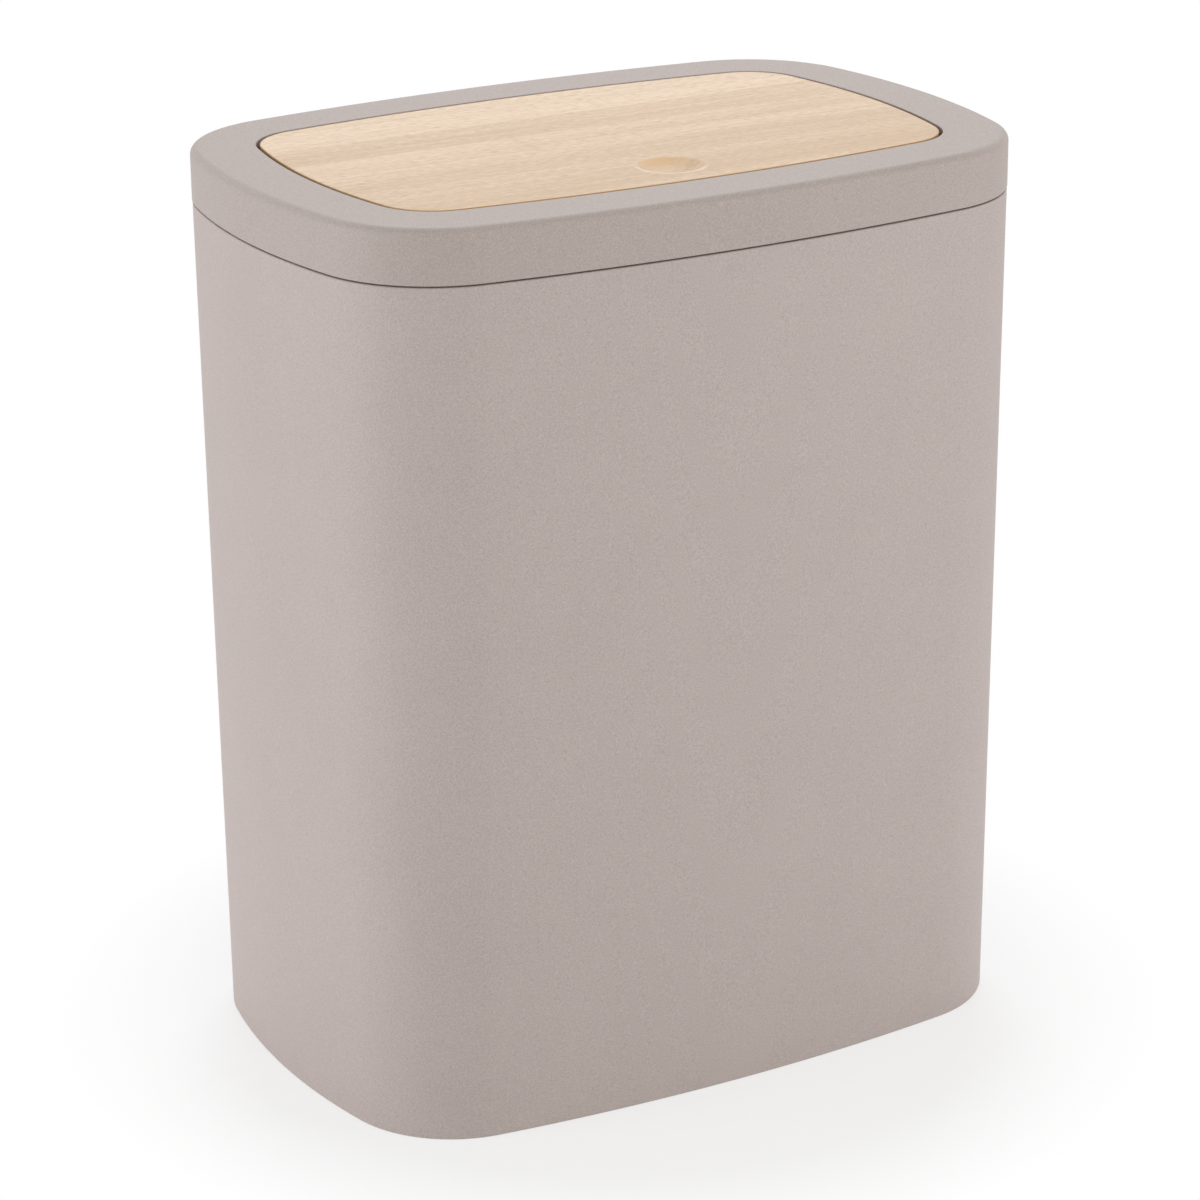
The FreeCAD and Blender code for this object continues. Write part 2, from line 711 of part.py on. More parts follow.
parts = {
    "bin_shell": [bin_shell()],
    "lid_ring": [lid_ring(hook_centre)],
    "lid_frame": [lid_frame()],
    "frame_screws": [placed(frame_screw, x, y, upstand_top) for x, y in frame_screw_places()],
    "flap_panel": [flap_panel()],
    "flap_carrier": [flap_carrier()],
    "carrier_screws": [placed(carrier_screw, x, y, carrier_bottom) for x, y in carrier_screw_places()],
    "hinge_pin_right": [hinge_pin],
    "hinge_pin_left": [mirrored(hinge_pin)],
    "hinge_spring_right": [spring_right],
    "hinge_spring_left": [mirrored(spring_right)],
    "strike_plate": [strike_plate()],
    "strike_screws": [placed(strike_screw, s * strike_screw_x, latch_y, strike_bottom) for s in (1, -1)],
    "latch_housing": [latch_housing()],
    "latch_plunger": [latch_plunger()],
    "latch_magnet": [post(magnet_radius, 0, latch_y, magnet_bottom, plunger_tip)],
    "latch_spring": [latch_spring()],
    "latch_cam_pin": [cam_pin()],
    "latch_clip": [latch_clip()],
    "latch_screws": [placed(latch_screw, s * latch_screw_x, latch_y, latch_top, True) for s in (1, -1)],
    "bumper_studs": [bumper_stud(s * bumper_x) for s in (1, -1)],
}

os.makedirs("parts", exist_ok=True)
for node, solids in parts.items():
    shape = solids[0] if len(solids) == 1 else Part.makeCompound(solids)
    shape.exportStep("parts/" + node + ".step")
    print(node, "solids", len(shape.Solids), "valid", shape.isValid(), "volume", round(shape.Volume, 1))
print("hinge axis y z", round(hinge_y, 3), round(hinge_z, 3), "latch y", round(latch_y, 3))
print("press travel", round(press_travel, 3), "lever", round(hinge_y - latch_y, 3))
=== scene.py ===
# %% [markdown]
# This lesson dresses a push-to-open bathroom bin. The bin is a moulded taupe shell, a lid ring with the
# same grain, and a bamboo flap that lies flush in the ring. The measured model is loaded first as a
# fixed frame, so each piece made below goes where that model says, in metres, with +Z up.

# %% Load the frame
import json
import math

import bmesh
import bpy
from mathutils import Matrix, Vector


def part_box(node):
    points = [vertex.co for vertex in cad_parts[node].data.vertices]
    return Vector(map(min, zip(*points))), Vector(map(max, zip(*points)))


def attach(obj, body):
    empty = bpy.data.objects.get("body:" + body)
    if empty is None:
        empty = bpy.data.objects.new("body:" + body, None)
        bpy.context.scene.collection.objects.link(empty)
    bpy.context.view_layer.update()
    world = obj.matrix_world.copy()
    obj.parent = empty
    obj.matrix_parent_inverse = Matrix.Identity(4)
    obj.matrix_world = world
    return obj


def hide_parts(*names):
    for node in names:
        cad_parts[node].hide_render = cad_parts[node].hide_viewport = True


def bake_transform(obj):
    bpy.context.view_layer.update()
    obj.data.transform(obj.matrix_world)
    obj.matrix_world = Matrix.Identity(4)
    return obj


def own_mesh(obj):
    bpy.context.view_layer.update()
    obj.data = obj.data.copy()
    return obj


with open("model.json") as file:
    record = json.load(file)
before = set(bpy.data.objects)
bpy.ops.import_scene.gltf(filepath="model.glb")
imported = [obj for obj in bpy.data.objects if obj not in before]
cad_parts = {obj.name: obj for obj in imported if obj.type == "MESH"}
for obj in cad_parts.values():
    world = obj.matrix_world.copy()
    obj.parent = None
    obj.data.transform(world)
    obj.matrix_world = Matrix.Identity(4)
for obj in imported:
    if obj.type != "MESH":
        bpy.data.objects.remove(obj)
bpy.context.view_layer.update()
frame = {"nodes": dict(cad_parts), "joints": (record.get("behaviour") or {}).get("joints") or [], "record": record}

# %% [markdown]
# Every finish and every repeated piece below is a node tree. Wiring nodes one by one hides the idea
# behind them, so two helpers come first. One makes any node from its type, its settings and the values
# of its sockets. The other wraps a number socket, so that shader maths reads as plain arithmetic.

# %% Helpers for node trees
MM = 0.001


def add_node(tree, kind, settings=None, inputs=None):
    """Makes a node: settings first, then the values or links of its sockets."""
    node = tree.nodes.new(kind)
    for name, value in (settings or {}).items():
        setattr(node, name, value)
    for name, value in (inputs or {}).items():
        socket = node.inputs[name]
        value = value.socket if isinstance(value, Amount) else value
        if isinstance(value, bpy.types.NodeSocket):
            tree.links.new(value, socket)
        else:
            socket.default_value = value
    return node


class Amount:
    """A number socket that adds Math nodes when it is used in an expression."""

    def __init__(self, tree, socket):
        self.tree = tree
        self.socket = socket

    def math(self, operation, first, second=0.0):
        node = add_node(self.tree, "ShaderNodeMath", {"operation": operation}, {0: first, 1: second})
        return Amount(self.tree, node.outputs[0])

    def __add__(self, other):
        return self.math("ADD", self, other)

    __radd__ = __add__

    def __sub__(self, other):
        return self.math("SUBTRACT", self, other)

    def __rsub__(self, other):
        return self.math("SUBTRACT", other, self)

    def __mul__(self, other):
        return self.math("MULTIPLY", self, other)

    __rmul__ = __mul__

    def floor(self):
        return self.math("FLOOR", self)

    def size(self):
        return self.math("ABSOLUTE", self)

    def fraction(self):
        return self.math("FRACT", self)


class Finish:
    """A material with one Principled shader and the textures that feed it."""

    def __init__(self, name, **constants):
        self.material = bpy.data.materials.new(name)
        self.material.use_nodes = True
        self.tree = self.material.node_tree
        self.tree.nodes.clear()
        self.shader = self.node("ShaderNodeBsdfPrincipled")
        self.end = self.node("ShaderNodeOutputMaterial", inputs={"Surface": self.shader.outputs[0]})
        self.place = self.node("ShaderNodeTexCoord").outputs["Object"]
        for socket, value in constants.items():
            self.shader.inputs[socket.replace("_", " ")].default_value = value

    def node(self, kind, settings=None, inputs=None):
        return add_node(self.tree, kind, settings, inputs)

    def amount(self, kind, output, settings=None, inputs=None):
        return Amount(self.tree, self.node(kind, settings, inputs).outputs[output])

    def stretched(self, x, y, z):
        """Object coordinates multiplied along each axis."""
        node = self.node("ShaderNodeVectorMath", {"operation": "MULTIPLY"}, {0: self.place, 1: (x, y, z)})
        return node.outputs[0]

    def noise(self, scale, detail=2.0, vector=None, roughness=0.5):
        inputs = {"Vector": vector or self.place, "Scale": scale, "Detail": detail, "Roughness": roughness}
        return self.amount("ShaderNodeTexNoise", 0, None, inputs)

    def spread(self, amount, low, high):
        """An amount between low and high, moved to run from 0 to 1."""
        inputs = {"Value": amount, "From Min": low, "From Max": high}
        return self.amount("ShaderNodeMapRange", 0, {"clamp": True}, inputs)

    def mix(self, factor, first, second):
        """Two colours mixed by a factor."""
        first = (*first, 1.0) if isinstance(first, tuple) else first
        second = (*second, 1.0) if isinstance(second, tuple) else second
        return self.node("ShaderNodeMix", {"data_type": "RGBA"}, {0: factor, 6: first, 7: second}).outputs[2]

    def finish_with(self, surface):
        """Puts another shader in the Principled shader's place at the end of the tree."""
        self.tree.links.new(surface, self.end.inputs["Surface"])

    def feed(self, **links):
        """Links textures to the shader's own sockets."""
        for name, value in links.items():
            value = value.socket if isinstance(value, Amount) else value
            self.tree.links.new(value, self.shader.inputs[name.replace("_", " ")])

    def relief(self, height, depth):
        """Bump from a height that runs from 0 to 1, over a depth in metres."""
        inputs = {"Height": height, "Distance": depth, "Strength": 1.0}
        self.feed(Normal=self.node("ShaderNodeBump", None, inputs).outputs[0])


print("node helpers ready")

# %% [markdown]
# The shell and the ring are injection moulded with a spark-eroded grain: a dense, matt texture with
# bumps about a third of a millimetre across. A flat colour would look like paint. Two noises, one fine and
# one soft, lighten and darken the taupe by up to an eighth, and the fine one also lifts the surface.

# %% Moulded plastic finishes
GRAIN = 0.36 * MM
MOTTLE = 22 * MM


def moulded_plastic(name, colour, speckle, grain_depth, roughness):
    """Grained plastic whose colour swings by a share called speckle to both sides."""
    shade = tuple(v * (1 - speckle) for v in colour)
    tint = tuple(v * (1 + speckle) for v in colour)
    finish = Finish(name, IOR=1.49)
    grain = finish.noise(1 / GRAIN, 2.0, roughness=0.6)
    mottle = finish.noise(1 / MOTTLE, 3.0)
    tone = finish.spread(grain * 0.92 + mottle * 0.08, 0.36, 0.64)
    finish.feed(Base_Color=finish.mix(tone, shade, tint))
    finish.feed(Roughness=roughness + 0.12 * (grain - 0.5) + 0.06 * (mottle - 0.5))
    finish.relief(grain, grain_depth)
    return finish.material


TAUPE = (0.500, 0.430, 0.403)
# The lid's taupe is a darker copy of the shell's, painted shade standing in for the lid's dimmer front.
LID_TAUPE_SHADED = (0.460, 0.394, 0.361)
ACETAL = (0.036, 0.036, 0.039)
shell_plastic = moulded_plastic("taupe_shell_grain", TAUPE, 0.13, 0.022 * MM, 0.60)
lid_plastic = moulded_plastic("taupe_lid_shaded_grain", LID_TAUPE_SHADED, 0.13, 0.022 * MM, 0.58)
inner_plastic = moulded_plastic("taupe_inner_satin", tuple(0.85 * v for v in TAUPE), 0.05, 0.012 * MM, 0.48)
latch_plastic = moulded_plastic("dark_latch_acetal", ACETAL, 0.20, 0.010 * MM, 0.36)
print("plastics", [m.name for m in (shell_plastic, lid_plastic, inner_plastic, latch_plastic)])

# %% [markdown]
# The flap is a board of bamboo strips glued side by side, with the fibres along the bin's width. Each
# strip has its own tone, fibre lines, short hairs, and now and then the faint band of a stalk's node. The
# tone comes from a random number for each strip, so neighbours differ as real strips do. Steep faces,
# which the surface's own direction tells apart from the top, are browner: partly the sawn edge's cut
# fibres, partly painted shade in the gap round the flap and in the dimple. Faces turned to the front get
# a golden painted shade, most of all the dimple's back wall, and a pale painted highlight lies on the
# dimple's front left rim.

# %% Bamboo finish
STRIP = 17.5 * MM
STRIP_SHIFT = 0.37
STRIP_SPAN = 260 * MM
OTHER_SEED = 40.5
NODE_HALF = 2.2 * MM
GLUE_HALF = 0.09 * MM
FIBRE_DEPTH = 0.03 * MM
FIBRES_PER_METRE = (14, 900, 900)
STREAKS_PER_METRE = (4, 150, 150)
HAIRS_PER_METRE = (380, 1200, 1200)
FLECKS_PER_METRE = (260, 1500, 1500)
BAMBOO_SHADE = (0.680, 0.484, 0.308)
BAMBOO_TINT = (0.935, 0.740, 0.550)
# Pale painted highlight on the dimple's front left rim.
HIGHLIGHT_PALE = (0.98, 0.84, 0.68)
# Golden painted shade for faces turned to the front: the dimple's back wall and the flap's front edge.
FRONT_SHADE_GOLD = (0.85, 0.59, 0.34)
DIMPLE_FROM_FRONT = 16.75 * MM
RIM_RADIUS = 9.2 * MM
RIM_HALF = 1.0 * MM
RIM_HIGHLIGHT = 0.65
HIGHLIGHT_LEAN = 0.55
FRONT_SHADE_LEVELS = (0.08, 0.50)
FLECK_BROWN = (0.50, 0.34, 0.21)
# Brown for steep faces: partly real sawn fibres, partly painted shade in the gap round the flap and in the dimple.
SAWN_AND_SHADE_BROWN = (0.48, 0.28, 0.11)
SAWN_AND_SHADE_LEVELS = (0.70, 0.83)


def bamboo_board():
    """Bamboo strips along X with fibres, glue lines, node bands, browner steep faces (sawn fibres and painted
    shade), golden painted shade on front-turned faces and a painted highlight on the dimple's rim.
    """
    finish = Finish("bamboo_strips", IOR=1.5, Specular_IOR_Level=0.3)
    along = finish.amount("ShaderNodeSeparateXYZ", 0, None, {0: finish.place})
    across = finish.amount("ShaderNodeSeparateXYZ", 1, None, {0: finish.place})
    lane = across * (1 / STRIP) + STRIP_SHIFT
    strip = lane.floor()
    lot = finish.amount("ShaderNodeTexWhiteNoise", 0, {"noise_dimensions": "1D"}, {"W": strip})
    other_strip = strip + OTHER_SEED
    other_lot = finish.amount("ShaderNodeTexWhiteNoise", 0, {"noise_dimensions": "1D"}, {"W": other_strip})
    from_glue = 0.5 - (lane.fraction() - 0.5).size()
    glue = 1 - finish.spread(from_glue, 0.0, 2 * GLUE_HALF / STRIP)
    fibres = finish.noise(1.0, 4.0, finish.stretched(*FIBRES_PER_METRE), 0.75)
    streaks = finish.noise(1.0, 3.0, finish.stretched(*STREAKS_PER_METRE), 0.6)
    hairs = finish.noise(1.0, 2.0, finish.stretched(*HAIRS_PER_METRE), 0.65)
    flecks = finish.noise(1.0, 1.0, finish.stretched(*FLECKS_PER_METRE))
    reach = ((along * (1 / STRIP_SPAN) + lot).fraction() - 0.5).size() * STRIP_SPAN
    node_band = (1 - finish.spread(reach, 0.0, NODE_HALF)) * (0.35 + 0.4 * other_lot)
    tone = 0.13 * lot + 0.25 * streaks + 0.30 * fibres + 0.32 * hairs
    colour = finish.mix(finish.spread(tone, 0.40, 0.60), BAMBOO_SHADE, BAMBOO_TINT)
    colour = finish.mix(finish.spread(flecks, 0.54, 0.70) * 0.45, colour, FLECK_BROWN)
    colour = finish.mix(node_band * 0.30, colour, FLECK_BROWN)
    colour = finish.mix(glue * 0.30, colour, FLECK_BROWN)
    facing = finish.node("ShaderNodeTexCoord").outputs["Normal"]
    forward = 0 - finish.amount("ShaderNodeSeparateXYZ", 1, None, {0: facing})
    # Painted shade: faces turned to the front, such as the dimple's back wall, turn golden.
    colour = finish.mix(finish.spread(forward, *FRONT_SHADE_LEVELS), colour, FRONT_SHADE_GOLD)
    dimple_y = panel_low.y + DIMPLE_FROM_FRONT
    from_dimple = finish.amount("ShaderNodeVectorMath", "Value", {"operation": "DISTANCE"}, {
        0: finish.stretched(1, 1, 0), 1: (0, dimple_y, 0)})
    # Painted highlight: a pale band on the dimple's rim, leaning to its front left.
    rim = 1 - finish.spread((from_dimple - RIM_RADIUS).size(), 0.0, RIM_HALF)
    highlight_side = finish.spread((dimple_y - across) - HIGHLIGHT_LEAN * along, 0.0, RIM_RADIUS / 2)
    colour = finish.mix(rim * highlight_side * RIM_HIGHLIGHT, colour, HIGHLIGHT_PALE)
    # Steep faces turn brown: partly the sawn edge's cut fibres, partly painted shade in the gap round the flap.
    level = finish.amount("ShaderNodeSeparateXYZ", 2, None, {0: facing}).size()
    sawn_and_shade = 1 - finish.spread(level, *SAWN_AND_SHADE_LEVELS)
    finish.feed(Base_Color=finish.mix(sawn_and_shade * 0.85, colour, SAWN_AND_SHADE_BROWN))
    finish.feed(Roughness=0.50 + 0.14 * (fibres - 0.5) + 0.05 * lot)
    finish.relief(fibres * 0.8 + (1 - glue) * 0.2, FIBRE_DEPTH)
    return finish.material


panel_low, panel_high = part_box("flap_panel")
bamboo = bamboo_board()
print("bamboo strips across the flap", round((panel_high.y - panel_low.y) / STRIP, 1))

# %% [markdown]
# The small metal pieces are steel in three finishes: zinc-plated screws, pins and plate with a cloudy
# blue-grey skin, springs of drawn wire with fine lines, and a nickel-plated magnet with soft smears.
# Metal colour varies little, so most of the life comes from roughness.

# %% Metal and rubber finishes
SCRATCHES_PER_METRE = (300, 5200, 2600)
SCRATCH_DEPTH = 0.006 * MM
BLOOMS_PER_METRE = 420
BLOOM_DEPTH = 0.03 * MM
RUBBER_BLACK = (0.018, 0.018, 0.018)
RUBBER_DUST = (0.055, 0.053, 0.050)


def plated_steel(name, shade, tint, roughness, cloud):
    """Metal whose tone and gloss drift in soft clouds, with fine scratches."""
    finish = Finish(name, Metallic=1.0)
    clouds = finish.noise(1 / cloud, 3.0)
    scratches = finish.noise(1.0, 2.0, finish.stretched(*SCRATCHES_PER_METRE))
    finish.feed(Base_Color=finish.mix(finish.spread(clouds, 0.3, 0.7), shade, tint))
    finish.feed(Roughness=roughness + 0.22 * (clouds - 0.5) + 0.10 * (scratches - 0.5))
    finish.relief(scratches, SCRATCH_DEPTH)
    return finish.material


def bumper_rubber():
    """Black rubber with a dusty bloom."""
    finish = Finish("bumper_rubber", IOR=1.52)
    bloom = finish.noise(BLOOMS_PER_METRE, 4.0, roughness=0.65)
    dusty = finish.spread(bloom, 0.35, 0.75)
    finish.feed(Base_Color=finish.mix(dusty, RUBBER_BLACK, RUBBER_DUST))
    finish.feed(Roughness=0.74 + 0.20 * (bloom - 0.5))
    finish.relief(bloom, BLOOM_DEPTH)
    return finish.material


FINISHES = {
    "shell_plastic": shell_plastic,
    "lid_plastic": lid_plastic,
    "inner_plastic": inner_plastic,
    "latch_plastic": latch_plastic,
    "bamboo": bamboo,
    "steel": plated_steel("zinc_plate", (0.50, 0.51, 0.54), (0.66, 0.67, 0.68), 0.36, 2.5 * MM),
    "spring_steel": plated_steel("drawn_wire", (0.36, 0.36, 0.37), (0.52, 0.52, 0.53), 0.30, 1.5 * MM),
    "magnet_nickel": plated_steel("nickel_plate", (0.62, 0.59, 0.54), (0.74, 0.71, 0.66), 0.20, 4.0 * MM),
    "bumper_rubber": bumper_rubber(),
}
slot_of = {part["node"]: part["material_slot"] for part in frame["record"]["subparts"]}
for name, piece in frame["nodes"].items():
    piece.data.materials.clear()
    piece.data.materials.append(FINISHES[slot_of[name]])
print("finishes", len(FINISHES), "on", len(frame["nodes"]), "nodes")

# %% [markdown]
# The shell follows one rule: a wall profile carried round an outline of four bowed sides and four round
# corners. Curve to Mesh does exactly that. A profile point at some inset stays at that inset all the
# way round, and the two flat floor faces are the outline moved in and filled. The numbers that shape the
# outline are few, and its width and depth come from the lid ring in the frame.

# %% The outline of the bin
CORNER_RADIUS = 35.0 * MM
FRONT_BOW = 564.0 * MM
SIDE_BOW = 200.0 * MM
CORNER_STEPS = 18
BOW_STEPS = 20

ring_low, ring_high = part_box("lid_ring")
half_width = ring_high.x
half_depth = ring_high.y


def corner_centre():
    """Where the corner's circle touches both bows from inside."""
    front = Vector((0, half_depth - FRONT_BOW))
    side = Vector((half_width - SIDE_BOW, 0))
    front_reach = FRONT_BOW - CORNER_RADIUS
    side_reach = SIDE_BOW - CORNER_RADIUS
    gap = side - front
    along = (front_reach**2 - side_reach**2 + gap.length_squared) / (2 * gap.length)
    across = math.sqrt(front_reach**2 - along**2)
    unit = gap.normalized()
    options = [front + unit * along + Vector((-unit.y, unit.x)) * s * across for s in (1, -1)]
    return max(options, key=sum), front, side


def arc(centre, radius, start, stop, steps):
    """Points of an arc without its last one."""
    turns = [start + (stop - start) * k / steps for k in range(steps)]
    return [centre + Vector((math.cos(a), math.sin(a))) * radius for a in turns]


def outline_points():
    """The lid's outline, anticlockwise from the middle of the right side."""
    corner, front, side = corner_centre()
    side_turn = math.atan2(corner.y - side.y, corner.x - side.x)
    front_turn = math.atan2(corner.y - front.y, corner.x - front.x)
    quarter = arc(side, SIDE_BOW, 0, side_turn, BOW_STEPS)
    quarter += arc(corner, CORNER_RADIUS, side_turn, front_turn, CORNER_STEPS)
    quarter += arc(front, FRONT_BOW, front_turn, math.pi / 2, BOW_STEPS)
    top = Vector((0, half_depth))
    left = [Vector((-p.x, p.y)) for p in reversed(quarter[1:])]
    upper = quarter + [top] + left
    lower = [Vector((-p.x, -p.y)) for p in upper]
    return upper + lower


def poly_curve(name, points, cyclic):
    """A curve object through points in space."""
    data = bpy.data.curves.new(name, "CURVE")
    data.dimensions = "3D"
    spline = data.splines.new("POLY")
    spline.points.add(len(points) - 1)
    for point, place in zip(spline.points, points):
        point.co = (*place, 1.0)
    spline.use_cyclic_u = cyclic
    curve = bpy.data.objects.new(name, data)
    bpy.context.scene.collection.objects.link(curve)
    return curve


outline = outline_points()
print("outline points", len(outline), "half sizes mm", round(half_width / MM, 2), round(half_depth / MM, 2))

# %% [markdown]
# Geometry node trees take their sizes as named inputs. A modifier stores each input under the socket's
# identifier, so a small function looks that up by name. After the tree has run, the result is copied to
# a plain mesh and the modifier and its helper curves are thrown away.

# %% Helpers for geometry trees
SMOOTH_BELOW = math.radians(35)


def new_tree(name, inputs):
    """An empty geometry tree with a Geometry input and the named inputs, as {name: socket type}."""
    tree = bpy.data.node_groups.new(name, "GeometryNodeTree")
    tree.interface.new_socket("Geometry", in_out="INPUT", socket_type="NodeSocketGeometry")
    for socket, kind in inputs.items():
        tree.interface.new_socket(socket, in_out="INPUT", socket_type="NodeSocket" + kind)
    tree.interface.new_socket("Geometry", in_out="OUTPUT", socket_type="NodeSocketGeometry")
    source = tree.nodes.new("NodeGroupInput")
    return tree, source.outputs


def close_tree(tree, geometry, material):
    """Ends a tree: instances made real, material set."""
    real = add_node(tree, "GeometryNodeRealizeInstances", None, {0: geometry})
    inputs = {"Geometry": real.outputs[0], "Material": material}
    dressed = add_node(tree, "GeometryNodeSetMaterial", None, inputs)
    add_node(tree, "NodeGroupOutput", None, {0: dressed.outputs[0]})


def grown(base, tree, name, values):
    """Runs a tree on a base object and returns the result as a plain mesh object."""
    modifier = base.modifiers.new("grow", "NODES")
    modifier.node_group = tree
    for item in tree.interface.items_tree:
        if item.in_out == "INPUT" and item.name in values:
            modifier[item.identifier] = values[item.name]
    base.update_tag()
    bpy.context.view_layer.update()
    evaluated = base.evaluated_get(bpy.context.evaluated_depsgraph_get())
    mesh = bpy.data.meshes.new_from_object(evaluated)
    mesh.name = name
    mesh.shade_smooth()
    mesh.set_sharp_from_angle(angle=SMOOTH_BELOW)
    base.modifiers.remove(modifier)
    bpy.data.objects.remove(base)
    piece = bpy.data.objects.new(name, mesh)
    bpy.context.scene.collection.objects.link(piece)
    return piece


def report(piece):
    """Prints a piece's size and whether it is closed and faces outwards."""
    form = bmesh.new()
    form.from_mesh(piece.data)
    open_edges = sum(not e.is_manifold for e in form.edges)
    volume = form.calc_volume(signed=True) / MM**3
    form.free()
    faces = len(piece.data.polygons)
    print(piece.name, "faces", faces, "open edges", open_edges, "volume mm3", round(volume, 1))


print("geometry helpers ready")

# %% [markdown]
# The profile of the shell is drawn as (inset, height) pairs, from the floor up the inside, over the upstand
# that carries the lid, and down the outside to the foot and the underside. Curve to Mesh lays a profile's
# x along the outline's normal and its y downwards, so both are turned round, and a profile that runs down
# the outside gives faces that look outwards. A short arc rounds each corner, as on any moulding.

# %% The shell
SHELL_TOP_INSET = 0.1 * MM
SHELL_DRAFT = 1.6 * MM
SHELL_WALL = 2.2 * MM
SHELL_FLOOR = 2.5 * MM
FOOT_HEIGHT = 3.0 * MM
FOOT_WIDTH = 6.0 * MM
FOOT_ROUND = 0.6 * MM
SEAM_GAP = 0.4 * MM
EDGE_ROUND = 0.4 * MM
INSIDE_ROUND = 4.0 * MM
UPSTAND_OUTER = 2.4 * MM
UPSTAND_INNER = 4.1 * MM
RIM_BAND = 7.0 * MM
FLOOR_INSET = 22.0 * MM
ROUND_STEPS = 6
WELD = 0.01 * MM

shell_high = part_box("bin_shell")[1]
shoulder = ring_low.z - SEAM_GAP


def rounded(before, corner, after, radius):
    """An arc of points that rounds one corner of a profile."""
    to_before = (before - corner).normalized()
    to_after = (after - corner).normalized()
    half = to_before.angle(to_after) / 2
    centre = corner + (to_before + to_after).normalized() * radius / math.sin(half)
    start = corner + to_before * radius / math.tan(half) - centre
    stop = corner + to_after * radius / math.tan(half) - centre
    swing = start.angle_signed(stop)
    return [centre + Matrix.Rotation(-swing * k / ROUND_STEPS, 2) @ start for k in range(ROUND_STEPS + 1)]


def shell_profile():
    """Corners of the shell's wall as (inset, height, rounding)."""
    low_inset = SHELL_TOP_INSET + SHELL_DRAFT
    inner_top = SHELL_TOP_INSET + SHELL_WALL
    band_low = shoulder - RIM_BAND
    floor_top = FOOT_HEIGHT + SHELL_FLOOR
    corners = [
        (FLOOR_INSET, floor_top, 0),
        (low_inset + SHELL_WALL, floor_top, INSIDE_ROUND),
        (inner_top, band_low, EDGE_ROUND),
        (UPSTAND_INNER, band_low + UPSTAND_INNER - inner_top, EDGE_ROUND),
        (UPSTAND_INNER, shell_high.z, EDGE_ROUND),
        (UPSTAND_OUTER, shell_high.z, EDGE_ROUND),
        (UPSTAND_OUTER, shoulder, EDGE_ROUND),
        (SHELL_TOP_INSET, shoulder, EDGE_ROUND),
        (low_inset, 0, FOOT_ROUND),
        (low_inset + FOOT_WIDTH, 0, EDGE_ROUND),
        (low_inset + FOOT_WIDTH, FOOT_HEIGHT, EDGE_ROUND),
        (FLOOR_INSET, FOOT_HEIGHT, 0),
    ]
    places = [Vector((inset, height)) for inset, height, _ in corners]
    points = [places[0]]
    for k in range(1, len(corners) - 1):
        radius = corners[k][2]
        points += rounded(places[k - 1], places[k], places[k + 1], radius)
    points.append(places[-1])
    return [Vector((-p.x, -p.y, 0)) for p in points]


def wall_tree():
    """Carries a wall profile round an outline and fills the floor's two faces."""
    tree, given = new_tree("moulded_wall", {
        "Profile": "Object", "Floor Inset": "Float", "Floor Top": "Float", "Floor Bottom": "Float",
        "Weld": "Float", "Material": "Material"})
    steady = add_node(tree, "GeometryNodeSetCurveNormal", {"mode": "Z_UP"}, {0: given["Geometry"]})
    upright = steady.outputs[0]
    profile = add_node(tree, "GeometryNodeObjectInfo", None, {"Object": given["Profile"]}).outputs["Geometry"]
    wall = add_node(tree, "GeometryNodeCurveToMesh", None, {"Curve": upright, "Profile Curve": profile})
    pieces = [wall.outputs[0]]
    normal = add_node(tree, "GeometryNodeInputNormal").outputs[0]
    inward = add_node(tree, "ShaderNodeVectorMath", {"operation": "SCALE"},
                      {0: normal, "Scale": -1 * Amount(tree, given["Floor Inset"])}).outputs[0]
    edge = add_node(tree, "GeometryNodeSetPosition", None, {"Geometry": upright, "Offset": inward})
    face = add_node(tree, "GeometryNodeFillCurve", {"mode": "NGONS"}, {"Curve": edge.outputs[0]}).outputs[0]
    turned = add_node(tree, "GeometryNodeFlipFaces", None, {"Mesh": face}).outputs[0]
    for level, floor_face in (("Floor Top", face), ("Floor Bottom", turned)):
        lift = add_node(tree, "ShaderNodeCombineXYZ", None, {"Z": given[level]}).outputs[0]
        lifted = add_node(tree, "GeometryNodeTransform", None, {"Geometry": floor_face, "Translation": lift})
        pieces.append(lifted.outputs[0])
    joined = add_node(tree, "GeometryNodeJoinGeometry")
    for piece in pieces:
        tree.links.new(piece, joined.inputs[0])
    welded = add_node(tree, "GeometryNodeMergeByDistance", None,
                      {"Geometry": joined.outputs[0], "Distance": given["Weld"]})
    close_tree(tree, welded.outputs[0], given["Material"])
    return tree


profile_curve = poly_curve("shell_profile", shell_profile(), False)
shell = grown(poly_curve("bin_outline", [(*p, 0) for p in outline], True), wall_tree(), "moulded_shell", {
    "Profile": profile_curve, "Floor Inset": FLOOR_INSET, "Floor Top": FOOT_HEIGHT + SHELL_FLOOR,
    "Floor Bottom": FOOT_HEIGHT, "Weld": WELD, "Material": shell_plastic})
bpy.data.objects.remove(profile_curve)
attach(shell, "shell")
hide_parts("bin_shell")
report(shell)

# %% [markdown]
# Springs are wire along a path. The coil is a helix, worked out by a formula, and the torsion springs
# add a straight leg under the flap and a hook into the lid's collar. One tree turns any path into wire.

# %% Spring wire
TURN_STEPS = 28
WIRE_SIDES = 14
HINGE_WIRE = 0.8 * MM
HINGE_COIL = 2.2 * MM
HINGE_PITCH = 1.3 * MM
HINGE_TURNS = 4
HINGE_LEG = 12.0 * MM
HOOK_ROUND = 1.2 * MM
HOOK_LENGTH = 3.4 * MM
HOOK_STEPS = 6
EAR_LENGTH = 7.0 * MM
SPRING_FROM_EAR = 1.0 * MM
LATCH_WIRE = 0.6 * MM
LATCH_TURNS = 6

hinge = next(Vector(j["pos_m"]) for j in frame["joints"] if j["name"] == "flap_open")


